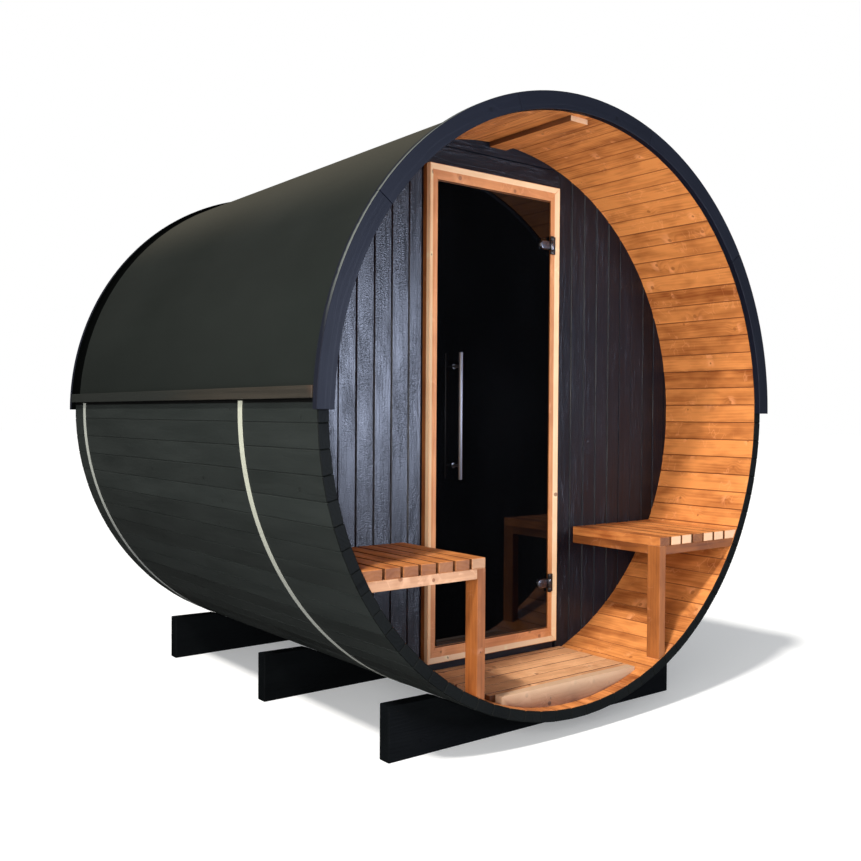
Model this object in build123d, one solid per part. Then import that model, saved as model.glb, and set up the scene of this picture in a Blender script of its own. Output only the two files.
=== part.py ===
from build123d import *
import math
import os

os.makedirs("parts", exist_ok=True)

# Barrel: a lying cylinder of staves, axis along Y, front at -Y
barrel_outer_r = 1110.0
stave_thickness = 40.0
barrel_length = 2180.0
stave_count = 88
staves_per_segment = 11
skin_gap = 0.5

# Cradles that carry the barrel
cradle_half_width = 723.0
cradle_top = 192.0
cradle_thickness = 55.0
cradle_wood_under_barrel = 65.0
front_cradle_setback = 177.0
middle_cradle_ahead = 48.0
rear_cradle_setback = 205.0

# Arches that frame the upper half of each barrel end
arch_outset = 18.0
arch_inset = 4.0
arch_thickness = 25.0

# Roof cover over the upper half and the battens that hold its lower edges
cover_thickness = 2.0
batten_low = 34.0
batten_height = 38.0
batten_thickness = 18.0
batten_end_gap = 3.0

# Steel bands round the lower half
band_thickness = 1.5
band_width = 30.0
band_end_gap = 4.0
middle_band_setback = 477.0
rear_band_setback = 118.0

# End walls
porch_depth = 473.0
wall_thickness = 45.0
rear_wall_recess = 110.0

# Door frame, in the front wall
frame_width = 686.0
frame_middle_x = -9.5
wall_over_door = 134.5
wall_under_door = 110.5
frame_depth = 90.0
frame_proud = 24.0
jamb_face = 44.0
head_face = 57.0
chamfer_land = 2.0
chamfer_width = 19.0
chamfer_depth = 9.0
stop_width = 14.0

# Glass door leaf
glass_thickness = 8.0
glass_gap = 6.0
handle_r = 10.5
handle_length = 486.0
handle_from_edge = 77.5
handle_below_middle = 5.0
handle_standoff = 42.0
standoff_r = 7.0
standoff_from_end = 53.0
bore_gap = 0.5
knob_length = 8.0
knob_r = 12.0

# Hinges
upper_hinge_below_top = 179.0
lower_hinge_above_bottom = 184.0
plate_height = 74.0
plate_thickness = 8.0
plate_edge_inset = 23.0
knuckle_r = 7.0
pin_r = 3.0
pin_play = 0.05
pivot_outset = 12.0
clamp_height = 38.0
clamp_length = 62.0
clamp_thickness = 8.0
clamp_edge_inset = 2.0
clamp_arm_relief = 1.0
clamp_back_thickness = 4.0
clamp_back_length = 42.0
knuckle_play = 0.5
plate_clearance = 3.0

# Porch deck and cabin floor
deck_rise = 79.0
deck_thickness = 25.0
deck_front_setback = 53.0
deck_right = 372.0
fascia_thickness = 36.0
fascia_left = -329.0
fascia_right = 366.0
bearer_width = 45.0
bearer_x = 190.0
cabin_floor_half_width = 380.0

# Porch benches
bench_width = 490.0
bench_wall_gap = 9.7
bench_height = 502.5
bench_slat_thickness = 36.0
bench_rail_height = 34.0
bench_rail_width = 36.0
bench_leg_width = 36.0
bench_leg_depth = 62.0
bench_setback = 4.0

# Board along the crown of the porch ceiling
plank_width = 96.0
plank_thickness = 20.0
plank_front_setback = 30.0

# Values that follow from the ones above
barrel_inner_r = barrel_outer_r - stave_thickness
fit_r = barrel_inner_r - skin_gap
axis_z = barrel_outer_r + cradle_wood_under_barrel
front_y = -barrel_length / 2
rear_y = barrel_length / 2
cover_inner_r = barrel_outer_r + skin_gap
cover_outer_r = cover_inner_r + cover_thickness
wall_front_y = front_y + porch_depth
wall_back_y = wall_front_y + wall_thickness
rear_wall_y = rear_y - rear_wall_recess - wall_thickness
frame_front_y = wall_front_y - frame_proud
glass_front_y = frame_front_y + chamfer_depth
glass_back_y = glass_front_y + glass_thickness
stop_y = glass_back_y + glass_gap
frame_low = wall_under_door - fit_r
frame_high = fit_r - wall_over_door
frame_height = frame_high - frame_low
frame_mid = (frame_low + frame_high) / 2
frame_centre = axis_z + frame_mid
frame_left = frame_middle_x - frame_width / 2
frame_right = frame_middle_x + frame_width / 2
opening_width = frame_width - 2 * jamb_face
opening_height = frame_height - 2 * head_face
glass_width = opening_width - 2 * glass_gap
glass_height = opening_height - 2 * glass_gap
glass_left = frame_middle_x - glass_width / 2
glass_right = frame_middle_x + glass_width / 2
glass_bottom = frame_centre - glass_height / 2
glass_top = frame_centre + glass_height / 2
handle_x = glass_left + handle_from_edge
pivot_x = glass_right + glass_gap / 2
pivot_y = glass_front_y - pivot_outset
deck_above_axis = deck_rise - fit_r
bench_above_axis = deck_above_axis + bench_height
bench_outer_x = math.sqrt(fit_r**2 - bench_above_axis**2) - bench_wall_gap
bench_inner_x = bench_outer_x - bench_width


def save(shape, name):
    export_step(shape, f"parts/{name}.step")


def block(x, y, z):
    """A box between two values on each axis."""
    place = Pos((x[0] + x[1]) / 2, (y[0] + y[1]) / 2, (z[0] + z[1]) / 2)
    return place * Box(x[1] - x[0], y[1] - y[0], z[1] - z[0])


def along_y(face, start, length):
    """A face drawn round the barrel axis as X and Z, made solid from start towards +Y."""
    return Pos(0, start + length, axis_z) * Rot(90, 0, 0) * extrude(face, length)


def rect(x, z):
    """A rectangle between two X values and two heights above the barrel axis."""
    return Pos((x[0] + x[1]) / 2, (z[0] + z[1]) / 2) * Rectangle(x[1] - x[0], z[1] - z[0])


def ring_sector(r_in, r_out, start, size):
    outer = CenterArc((0, 0), r_out, start, size)
    inner = CenterArc((0, 0), r_in, start, size)
    ends = [Line(inner @ 0, outer @ 0), Line(inner @ 1, outer @ 1)]
    return make_face(Curve() + [outer, inner] + ends)


def upright(x, y, z_mid, height, r):
    return Pos(x, y, z_mid) * Cylinder(r, height)


def across(y_mid, z, length, r):
    """A rod through the door leaf, in line with the handle."""
    return Pos(handle_x, y_mid, z) * Rot(90, 0, 0) * Cylinder(r, length)


# Barrel wall, in segments of whole staves
segment_names = ["right", "upper_right", "top", "upper_left", "left", "lower_left", "bottom", "lower_right"]
segment_angle = 360.0 * staves_per_segment / stave_count
for number, name in enumerate(segment_names):
    start = (number - 0.5) * segment_angle
    face = ring_sector(barrel_inner_r, barrel_outer_r, start, segment_angle)
    save(along_y(face, front_y, barrel_length), f"barrel_wall_{name}")

# Roof cover, ending behind the side battens
cover_low = batten_low + batten_height / 2
cover_angle = math.degrees(math.asin(cover_low / cover_outer_r))
cover_face = ring_sector(cover_inner_r, cover_outer_r, cover_angle, 180 - 2 * cover_angle)
save(along_y(cover_face, front_y, barrel_length), "roof_cover")

# Side battens
batten_x = math.sqrt(cover_outer_r**2 - cover_low**2) + skin_gap
batten_z = (axis_z + batten_low, axis_z + batten_low + batten_height)
batten_y = (front_y + batten_end_gap, rear_y - batten_end_gap)
for side, name in ((-1, "left"), (1, "right")):
    x = sorted((side * batten_x, side * (batten_x + batten_thickness)))
    save(block(x, batten_y, batten_z), f"side_batten_{name}")

# Arches
arch_face = ring_sector(barrel_inner_r - arch_inset, barrel_outer_r + arch_outset, 0, 180)
save(along_y(arch_face, front_y - arch_thickness, arch_thickness), "front_arch")
save(along_y(arch_face, rear_y, arch_thickness), "rear_arch")

# Steel bands, from batten to batten under the barrel
band_angle = math.degrees(math.asin((batten_low - band_end_gap) / cover_inner_r))
band_outer_r = cover_inner_r + band_thickness
band_face = ring_sector(cover_inner_r, band_outer_r, 180 - band_angle, 180 + 2 * band_angle)
band_starts = {"middle": front_y + middle_band_setback, "rear": rear_y - rear_band_setback - band_width}
for name, start in band_starts.items():
    save(along_y(band_face, start, band_width), f"steel_band_{name}")

# Cradles, each a plank cut out to the barrel
saddle = Pos(0, 0, axis_z) * Rot(90, 0, 0) * Cylinder(cover_inner_r, barrel_length)
cradle_starts = {
    "front": front_y + front_cradle_setback,
    "middle": -middle_cradle_ahead,
    "rear": rear_y - rear_cradle_setback - cradle_thickness,
}
for name, start in cradle_starts.items():
    y = (start, start + cradle_thickness)
    plank = block((-cradle_half_width, cradle_half_width), y, (0, cradle_top))
    save(plank - saddle, f"cradle_{name}")

# Front wall round the door frame, and rear wall
disc = Circle(fit_r)
wall_pieces = {
    "front_wall_left": rect((-fit_r, frame_left), (-fit_r, fit_r)),
    "front_wall_right": rect((frame_right, fit_r), (-fit_r, fit_r)),
    "front_wall_over_door": rect((frame_left, frame_right), (frame_high, fit_r)),
    "front_wall_under_door": rect((frame_left, frame_right), (-fit_r, frame_low)),
}
for name, face in wall_pieces.items():
    save(along_y(disc & face, wall_front_y, wall_thickness), name)
save(along_y(disc, rear_wall_y, wall_thickness), "rear_wall")

# Door frame: a chamfered ring with a stop behind the glass, mitred into four
middle = Pos(frame_middle_x, frame_mid)
outer_face = middle * Rectangle(frame_width, frame_height)
opening_face = middle * Rectangle(opening_width, opening_height)
stop_face = middle * Rectangle(opening_width - 2 * stop_width, opening_height - 2 * stop_width)
stop_depth = frame_front_y + frame_depth - stop_y
frame_ring = along_y(outer_face - opening_face, frame_front_y, stop_y - frame_front_y)
frame_ring += along_y(outer_face - stop_face, stop_y, stop_depth)
mouth = Rectangle(frame_width - 2 * chamfer_land, frame_height - 2 * chamfer_land)
seat_inset = 2 * (chamfer_land + chamfer_width)
seat = Rectangle(frame_width - seat_inset, frame_height - seat_inset)
front_plane = Pos(frame_middle_x, frame_front_y, frame_centre) * Rot(90, 0, 0)
seat_plane = Pos(frame_middle_x, glass_front_y, frame_centre) * Rot(90, 0, 0)
frame_ring -= loft([front_plane * mouth, seat_plane * seat])
mitre = head_face + stop_width
side_mitre = jamb_face + stop_width
corner = (frame_width / 2, frame_height / 2)
inner_corner = (frame_width / 2 - side_mitre, frame_height / 2 - mitre)


def frame_piece(points):
    face = middle * make_face(Polyline(*points, close=True))
    return frame_ring & along_y(face, frame_front_y, frame_depth)


for sign, name in ((1, "door_head"), (-1, "door_sill")):
    points = [
        (-corner[0], sign * corner[1]),
        (corner[0], sign * corner[1]),
        (inner_corner[0], sign * inner_corner[1]),
        (-inner_corner[0], sign * inner_corner[1]),
    ]
    save(frame_piece(points), name)
for sign, name in ((-1, "door_jamb_left"), (1, "door_jamb_right")):
    points = [
        (sign * corner[0], -corner[1]),
        (sign * corner[0], corner[1]),
        (sign * inner_corner[0], inner_corner[1]),
        (sign * inner_corner[0], -inner_corner[1]),
    ]
    save(frame_piece(points), name)

# Door leaf: a pane of glass with a bar handle on standoffs
glass_mid_y = (glass_front_y + glass_back_y) / 2
glass_z = (glass_bottom, glass_top)
glass = block((glass_left, glass_right), (glass_front_y, glass_back_y), glass_z)
handle_z = frame_centre - handle_below_middle
handle_y = glass_front_y - handle_standoff
handle = upright(handle_x, handle_y, handle_z, handle_length, handle_r)
for sign in (-1, 1):
    z = handle_z + sign * (handle_length / 2 - standoff_from_end)
    glass -= across(glass_mid_y, z, 2 * glass_thickness, standoff_r + bore_gap)
    handle += across((handle_y + glass_back_y) / 2, z, glass_back_y - handle_y, standoff_r)
    handle += across(glass_back_y + knob_length / 2, z, knob_length, knob_r)
save(glass, "door_glass")
save(handle, "door_handle")

# Hinges: a plate with two knuckles and a pin on the jamb, a clamp with one knuckle on the glass
plate_edge = frame_right - plate_edge_inset
hinge_mids = {"upper": glass_top - upper_hinge_below_top, "lower": glass_bottom + lower_hinge_above_bottom}
for name, mid in hinge_mids.items():
    full = (mid - plate_height / 2, mid + plate_height / 2)
    inner = clamp_height / 2 + knuckle_play
    plate_y = (glass_front_y - plate_thickness, glass_front_y)
    plate = block((pivot_x + knuckle_r + plate_clearance, plate_edge), plate_y, full)
    for low, high in ((full[0], mid - inner), (mid + inner, full[1])):
        plate += block((pivot_x, plate_edge), plate_y, (low, high))
        plate += upright(pivot_x, pivot_y, (low + high) / 2, high - low, knuckle_r)
        plate += block((pivot_x, pivot_x + knuckle_r), (pivot_y, glass_front_y), (low, high))
    plate += upright(pivot_x, pivot_y, mid, plate_height, pin_r)
    save(plate, f"hinge_plate_{name}")
    clamp_z = (mid - clamp_height / 2, mid + clamp_height / 2)
    clamp_x = (pivot_x - clamp_length, glass_right - clamp_edge_inset)
    clamp = block(clamp_x, (glass_front_y - clamp_thickness, glass_front_y), clamp_z)
    clamp += upright(pivot_x, pivot_y, mid, clamp_height, knuckle_r)
    arm_y = (pivot_y, glass_front_y - clamp_arm_relief)
    clamp += block((clamp_x[1] - knuckle_r, pivot_x), arm_y, clamp_z)
    clamp -= upright(pivot_x, pivot_y, mid, plate_height, pin_r + pin_play)
    save(clamp, f"hinge_clamp_{name}")
    back_x = (clamp_x[0], clamp_x[0] + clamp_back_length)
    back = block(back_x, (glass_back_y, glass_back_y + clamp_back_thickness), clamp_z)
    save(back, f"hinge_back_{name}")

# Porch deck, its fascia and bearers, and the cabin floor
deck_low = deck_above_axis - deck_thickness
deck_face = disc & rect((frame_left, deck_right), (deck_low, deck_above_axis))
deck_front_y = front_y + deck_front_setback
deck_board_y = deck_front_y + fascia_thickness
save(along_y(deck_face, deck_board_y, wall_front_y - deck_board_y), "porch_deck")
fascia_face = disc & rect((fascia_left, fascia_right), (-fit_r, deck_above_axis))
save(along_y(fascia_face, deck_front_y, fascia_thickness), "deck_fascia")
for side, name in ((-1, "left"), (1, "right")):
    x = sorted((side * bearer_x, side * (bearer_x + bearer_width)))
    face = disc & rect(x, (-fit_r, deck_low))
    save(along_y(face, deck_board_y, wall_front_y - deck_board_y), f"deck_bearer_{name}")
    save(along_y(face, wall_back_y, rear_wall_y - wall_back_y), f"floor_bearer_{name}")
floor_x = (-cabin_floor_half_width, cabin_floor_half_width)
floor_face = disc & rect(floor_x, (deck_low, deck_above_axis))
save(along_y(floor_face, wall_back_y, rear_wall_y - wall_back_y), "cabin_floor")

# Board along the crown of the porch ceiling
plank_face = disc & rect((-plank_width / 2, plank_width / 2), (fit_r - plank_thickness, fit_r))
plank_y = front_y + plank_front_setback
save(along_y(plank_face, plank_y, wall_front_y - plank_y), "ceiling_plank")

# Porch benches, left and right
seat_low = bench_above_axis - bench_slat_thickness
rail_low = seat_low - bench_rail_height
bench_y = front_y + bench_setback
for side, name in ((-1, "left"), (1, "right")):
    seat_face = rect(sorted((side * bench_inner_x, side * bench_outer_x)), (seat_low, bench_above_axis))
    save(along_y(disc & seat_face, bench_y, wall_front_y - bench_y), f"bench_seat_{name}")
    leg_x = sorted((side * bench_inner_x, side * (bench_inner_x + bench_leg_width)))
    leg_face = disc & rect(leg_x, (-fit_r, seat_low))
    save(along_y(leg_face, bench_y, bench_leg_depth), f"bench_leg_{name}")
    rail_y = bench_y + bench_leg_depth
    inner = sorted((side * bench_inner_x, side * (bench_inner_x + bench_rail_width)))
    side_face = disc & rect(inner, (rail_low, seat_low))
    save(along_y(side_face, rail_y, wall_front_y - rail_y), f"bench_side_rail_{name}")
    outer = sorted((side * (bench_inner_x + bench_leg_width), side * fit_r))
    front_face = disc & rect(outer, (rail_low, seat_low))
    save(along_y(front_face, bench_y, bench_rail_width), f"bench_front_rail_{name}")
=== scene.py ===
import math
import random
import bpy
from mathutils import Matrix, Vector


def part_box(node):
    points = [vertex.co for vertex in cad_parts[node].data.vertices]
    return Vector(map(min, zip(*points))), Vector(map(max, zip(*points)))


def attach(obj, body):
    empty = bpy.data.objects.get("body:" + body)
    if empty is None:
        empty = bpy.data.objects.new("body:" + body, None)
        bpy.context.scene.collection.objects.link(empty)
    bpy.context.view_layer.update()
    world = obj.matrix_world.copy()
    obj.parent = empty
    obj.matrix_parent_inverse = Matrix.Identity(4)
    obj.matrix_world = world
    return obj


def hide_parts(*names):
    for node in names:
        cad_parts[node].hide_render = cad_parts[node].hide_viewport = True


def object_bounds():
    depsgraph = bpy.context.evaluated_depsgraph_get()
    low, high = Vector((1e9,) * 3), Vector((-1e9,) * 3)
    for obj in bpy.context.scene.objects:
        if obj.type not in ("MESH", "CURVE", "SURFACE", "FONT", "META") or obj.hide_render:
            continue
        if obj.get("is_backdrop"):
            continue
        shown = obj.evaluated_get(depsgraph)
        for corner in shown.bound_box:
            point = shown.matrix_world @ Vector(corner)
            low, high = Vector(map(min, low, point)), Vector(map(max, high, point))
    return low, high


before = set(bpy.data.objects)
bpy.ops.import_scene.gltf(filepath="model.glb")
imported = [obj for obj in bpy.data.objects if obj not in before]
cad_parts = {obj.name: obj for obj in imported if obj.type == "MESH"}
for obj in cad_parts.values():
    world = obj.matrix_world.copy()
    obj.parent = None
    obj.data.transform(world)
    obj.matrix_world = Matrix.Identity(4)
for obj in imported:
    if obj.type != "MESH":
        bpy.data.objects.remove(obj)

from types import SimpleNamespace

import bmesh
import bpy
from bpy.props import FloatProperty, FloatVectorProperty, IntProperty, PointerProperty
from mathutils import Matrix, Vector, noise

bl_info = {
    "name": "Barrel sauna",
    "version": (1, 0, 0),
    "blender": (4, 5, 0),
    "location": "View3D > Sidebar > Sauna",
    "description": "Dresses the barrel sauna with staves, boards, glass, metal and its stage",
    "category": "Object",
}

# The barrel as the frame gives it
BARREL_LOW, BARREL_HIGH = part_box("barrel_wall_top")
OUTER_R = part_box("barrel_wall_right")[1].x
AXIS_Z = BARREL_HIGH.z - OUTER_R
FRONT_Y = BARREL_LOW.y
REAR_Y = BARREL_HIGH.y
STAVE_THICKNESS = 0.040
INNER_R = OUTER_R - STAVE_THICKNESS
FIT_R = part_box("rear_wall")[1].x
SEGMENTS = ["right", "upper_right", "top", "upper_left", "left", "lower_left", "bottom", "lower_right"]

# The axes that run across, along and through a board, by the way the board lies
LENGTHWISE_FLAT = (0, 1, 2)
LENGTHWISE_ON_EDGE = (2, 1, 0)
CROSSWISE_FLAT = (1, 0, 2)
CROSSWISE_ON_EDGE = (2, 0, 1)
UPRIGHT = (0, 2, 1)


# Sizes, colours and lights that a user can change
def number(name, what, value, **more):
    return FloatProperty(name=name, description=what, default=value, **more)


def measure(name, what, value):
    return number(name, what, value, unit="LENGTH")


def colour(name, what, value):
    return FloatVectorProperty(
        name=name, description=what, subtype="COLOR", size=3, min=0, max=1, default=value
    )


class SaunaSizes(bpy.types.PropertyGroup):
    stave_count: IntProperty(
        name="Staves", description="Staves round the barrel, a multiple of eight", default=88, min=24
    )
    stave_ease: measure("Stave edge", "Bevel on the long edges of a stave", 0.0026)
    board_pitch: measure("Wall board pitch", "Width of one end wall board", 0.0775)
    board_groove: measure("Wall board groove", "Bevel beside a wall board joint", 0.0042)
    frame_gap: measure("Shadow gap", "Dark gap between the front boards and the door frame", 0.0175)
    deck_pitch: measure("Deck board pitch", "Width of one deck board and its gap", 0.080)
    slat_count: IntProperty(name="Bench slats", description="Slats in one bench seat", default=7, min=2)
    slat_gap: measure("Slat gap", "Gap between two bench slats", 0.0100)
    # strip_width is the width of the near-black band on the cover by the rear arch, a painted shade
    strip_width: measure("Rear edge strip", "Black strip on the cover by the rear arch", 0.075)
    ease: measure("Eased edge", "Bevel on sawn boards", 0.0022)


class SaunaColours(bpy.types.PropertyGroup):
    oiled: colour("Oiled wood", "Inside of the staves", (0.73, 0.280, 0.078))
    oiled_dark: colour("Oiled late wood", "Dark rings of the oiled wood", (0.28, 0.075, 0.015))
    trim: colour("Trim wood", "Door frame", (0.78, 0.345, 0.135))
    trim_dark: colour("Trim late wood", "Dark rings of the door frame", (0.52, 0.190, 0.064))
    deck: colour("Deck wood", "Deck boards", (0.78, 0.425, 0.215))
    deck_dark: colour("Deck late wood", "Dark rings of the deck boards", (0.42, 0.185, 0.080))
    knot: colour("Knots", "Heart of a knot", (0.22, 0.070, 0.022))
    stain: colour("Outside stain", "Outside of the staves", (0.0150, 0.0198, 0.0186))
    cover: colour("Roof cover", "Sheet over the upper half", (0.0088, 0.0122, 0.0106))
    wall: colour("Wall stain", "End wall boards", (0.0046, 0.0065, 0.0132))
    arch: colour("Arch paint", "Front and rear arches", (0.0062, 0.0082, 0.0180))
    black: colour("Black stain", "Cradles and stave ends", (0.0024, 0.0032, 0.0040))


# Tone of each bench slat from the inner one out: 0 is pale, 1 is brown. The left seat's slats grow mostly
# browner outwards, a painted shade of the barrel's shadow over it.
SLAT_TONES_AND_SHADE = {
    "left": (0.49, 0.60, 0.53, 0.66, 0.56, 0.72, 0.62),
    "right": (0.95, 0.15, 0.20, 0.90, 0.22, 0.12, 0.26),
}

# Sawn ends of pale and of brown boards, and how much light bare wood mirrors
SAWN_PALE = (0.86, 0.62, 0.42)
SAWN_BROWN = (0.18, 0.064, 0.021)
WOOD_SPECULAR = 0.30


class SaunaStage(bpy.types.PropertyGroup):
    lens: number("Lens", "Focal length on a 36 mm sensor", 40.53, unit="CAMERA")
    key: number("Key light", "Strength of the high light from the left", 3.0)
    fill: number("Front light", "Power of the wide light by the camera", 235.0)
    sheen: number("Side light", "Power of the light at the front right", 170.0)
    sky: number("Surroundings", "Light from the white surroundings", 0.36)
    reflected: number("Reflected surroundings", "Strength of the surroundings in reflections", 0.012)


# Kit for shader nodes
class Signal:
    """An output of a shader node. Arithmetic on it adds Math nodes."""

    def __init__(self, graph, socket):
        self.graph = graph
        self.socket = socket

    def math(self, operation, *others, clamp=False):
        settings = {"operation": operation, "use_clamp": clamp}
        return self.graph.add("Math", settings, dict(enumerate((self, *others))))

    def __add__(self, other):
        return self.math("ADD", other)

    def __sub__(self, other):
        return self.math("SUBTRACT", other)

    def __rsub__(self, other):
        return self.graph.add("Math", {"operation": "SUBTRACT"}, {0: other, 1: self})

    def __mul__(self, other):
        return self.math("MULTIPLY", other)

    def __truediv__(self, other):
        return self.math("DIVIDE", other)

    __radd__ = __add__
    __rmul__ = __mul__

    def clamped(self):
        return self.math("ADD", 0.0, clamp=True)

    def step(self, low, high, start=0.0, end=1.0):
        """A smooth step from start, at low, to end, at high."""
        inputs = {"Value": self, "From Min": low, "From Max": high, "To Min": start, "To Max": end}
        return self.graph.add("MapRange", {"interpolation_type": "SMOOTHSTEP"}, inputs)


class Graph:
    """The nodes of a material or of the world."""

    def __init__(self, owner):
        owner.use_nodes = True
        self.tree = owner.node_tree

    def add(self, kind, settings=None, inputs=None, output=0):
        """Adds a shader node, its kind named without ShaderNode, and gives one of its outputs."""
        node = self.tree.nodes.new("ShaderNode" + kind)
        for key, value in (settings or {}).items():
            setattr(node, key, value)
        for key, value in (inputs or {}).items():
            self.feed(node.inputs[key], value)
        return Signal(self, node.outputs[output])

    def feed(self, socket, value):
        if isinstance(value, Signal):
            self.tree.links.new(value.socket, socket)
        elif socket.type == "RGBA":
            socket.default_value = (*value[:3], 1.0)
        else:
            socket.default_value = value


class Finish(Graph):
    """A material under construction: one Principled shader and the nodes that feed it."""

    def __init__(self, name):
        self.material = bpy.data.materials.new(name)
        super().__init__(self.material)
        self.shader = self.tree.nodes["Principled BSDF"]

    def attribute(self, name, output):
        return self.add("Attribute", {"attribute_name": name}, output=output)

    def position(self):
        """The place of a point in its object's own space, in metres."""
        return self.add("TexCoord", output="Object")

    def stretched(self, place, scale):
        return self.add("VectorMath", {"operation": "MULTIPLY"}, {0: place, 1: scale})

    def parts(self, place):
        node = self.add("SeparateXYZ", None, {0: place}).socket.node
        return [Signal(self, socket) for socket in node.outputs]

    def noise(self, place, scale=1.0, detail=2.0, roughness=0.5):
        """Noise from 0 to 1. A scale of three numbers stretches it."""
        if isinstance(scale, tuple):
            place, scale = self.stretched(place, scale), 1.0
        inputs = {"Vector": place, "Scale": scale, "Detail": detail, "Roughness": roughness}
        return self.add("TexNoise", None, inputs)

    def mix(self, factor, first, second):
        inputs = {0: factor, 6: first, 7: second}
        return self.add("Mix", {"data_type": "RGBA"}, inputs, output=2)

    def shaded(self, base, share):
        """A colour times a number."""
        inputs = {0: tuple(base), "Scale": share}
        return self.add("VectorMath", {"operation": "SCALE"}, inputs)

    def bump(self, height, distance, strength=1.0):
        inputs = {"Height": height, "Distance": distance, "Strength": strength}
        return self.add("Bump", None, inputs)

    def set(self, **values):
        for key, value in values.items():
            self.feed(self.shader.inputs[key.replace("_", " ")], value)
        return self.material


# Materials
def wood_figure(g, knot_share, cell=(9.0, 4.2)):
    """Rings, fibre and knots of a board in its own grain coordinates: across, along and depth in metres.

    cell is how many places for a knot there are in a metre across and along.
    """
    smallest_knot, knot_spread, ring_width = 0.0030, 0.0065, 0.0125
    place = g.attribute("grain", "Vector")
    wander = g.noise(place, (9.0, 1.6, 9.0)) - 0.5
    across, along, depth = g.parts(place)
    flat = g.add("CombineXYZ", None, {0: across * cell[0], 1: along * cell[1]})
    spots = {"Vector": flat, "Scale": 1.0}
    centre = g.add("TexVoronoi", {"voronoi_dimensions": "2D"}, spots, "Position")
    lot = g.parts(g.add("TexVoronoi", {"voronoi_dimensions": "2D"}, spots, "Color"))
    offset = g.add("VectorMath", {"operation": "SUBTRACT"}, {0: flat, 1: centre})
    offset = g.stretched(offset, (1 / cell[0], 1 / cell[1], 1.0))
    ripple = g.noise(place, (60.0, 60.0, 20.0), 1.0) - 0.5
    reach = g.add("VectorMath", {"operation": "LENGTH"}, {0: offset}, output="Value")
    reach = reach + ripple * 0.004
    size = lot[0] * knot_spread + smallest_knot
    there = lot[1].step(1 - knot_share, 1 - knot_share + 0.02)
    knot = (reach / size).step(0.7, 1.2, 1.0, 0.0) * there
    halo = (reach / size).step(1.0, 6.0, 1.0, 0.0) * there
    radius = (across * across + depth * depth).math("SQRT")
    radius = radius + wander * 0.052 + halo * 0.013
    saw = (radius / ring_width).math("FRACT")
    ring = saw.step(0.1, 0.82) * saw.step(0.84, 1.0, 1.0, 0.0)
    fibre = g.noise(place, (420.0, 7.0, 420.0), 3.0, 0.6)
    streak = g.noise(place, (55.0, 1.1, 55.0), 3.0, 0.55)
    return SimpleNamespace(place=place, ring=ring, fibre=fibre, streak=streak, knot=knot, halo=halo)


def natural_wood(name, pale, dark, knot, rough, spread, knot_share, wear=0.0, cell=(9.0, 4.2)):
    """Oiled softwood with rings, knots, soft dark patches and pale checks.

    spread is how far the boards differ in tone, and wear how pale the scuffs are.
    """
    g = Finish(name)
    wood = wood_figure(g, knot_share, cell)
    tone = g.attribute("tone", "Fac")
    cloud = g.noise(wood.place, (17.0, 7.0, 17.0), 2.0)
    depth = wood.ring * 0.16 + wood.streak.step(0.2, 0.8) * 0.34 + wood.fibre.step(0.3, 0.75) * 0.12
    depth = depth + (tone - 0.5) * spread + (cloud - 0.5) * 1.7 + 0.06
    body = g.mix(depth.clamped(), pale, dark)
    bright = [min(1.0, c * 1.25 + 0.10) for c in pale]
    fleck = g.noise(wood.place, (16.0, 26.0, 16.0), 1.0)
    check = (fleck - 0.5).math("ABSOLUTE").step(0.004, 0.030, 1.0, 0.0)
    region = g.noise(wood.place, (13.0, 9.0, 13.0), 1.0)
    marks = region.step(0.55, 0.63) * check * 0.22 + wood.halo * fleck.step(0.5, 0.62) * 0.45
    if wear:
        scuff = g.noise(wood.place, (38.0, 16.0, 38.0), 5.0, 0.7)
        marks = marks + scuff.step(0.56, 0.68) * wear
    body = g.mix(marks.clamped(), body, bright)
    body = g.mix(wood.knot * 0.75, body, knot)
    ends = g.attribute("end_grain", "Fac")
    body = g.mix(ends * 0.75, body, g.mix(tone.step(0.40, 0.55), SAWN_PALE, SAWN_BROWN))
    height = wood.fibre * 0.5 + wood.ring * 0.3 + wood.knot * 0.5 + cloud * 0.6 + check * 0.1
    return g.set(
        Base_Color=body,
        Specular_IOR_Level=WOOD_SPECULAR,
        Roughness=wood.ring * 0.14 + rough - wood.knot * 0.12,
        Normal=g.bump(height, 0.0012, 0.6),
    )


def painted_wood(name, base, rough, relief, variation, specular, shadow_under=None):
    """Opaque stain or paint over boards, with the wood still felt under it.

    shadow_under is the height of an edge, just under which the boards are darker.
    """
    g = Finish(name)
    wood = wood_figure(g, 0.4)
    tone = g.attribute("tone", "Fac")
    wear_and_highlight = g.noise(wood.place, (14.0, 2.4, 14.0), 4.0, 0.62)
    shade = 1.0 + (tone - 0.5) * variation + (wear_and_highlight - 0.5) * variation * 1.6 + (wood.fibre - 0.5) * 0.25
    shade = shade - wood.knot * 0.35
    if shadow_under:
        height = g.parts(g.position())[2]
        shade = shade * (1.0 - height.step(shadow_under - 0.014, shadow_under - 0.010) * 0.95)
    relief_map = wood.ring * 0.45 + wood.fibre * 0.55 - wood.knot * 0.6
    return g.set(
        Base_Color=g.shaded(base, shade),
        Specular_IOR_Level=specular,
        Roughness=(wear_and_highlight - 0.5) * 0.25 + rough,
        Normal=g.bump(relief_map, relief, 0.8),
    )


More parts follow.
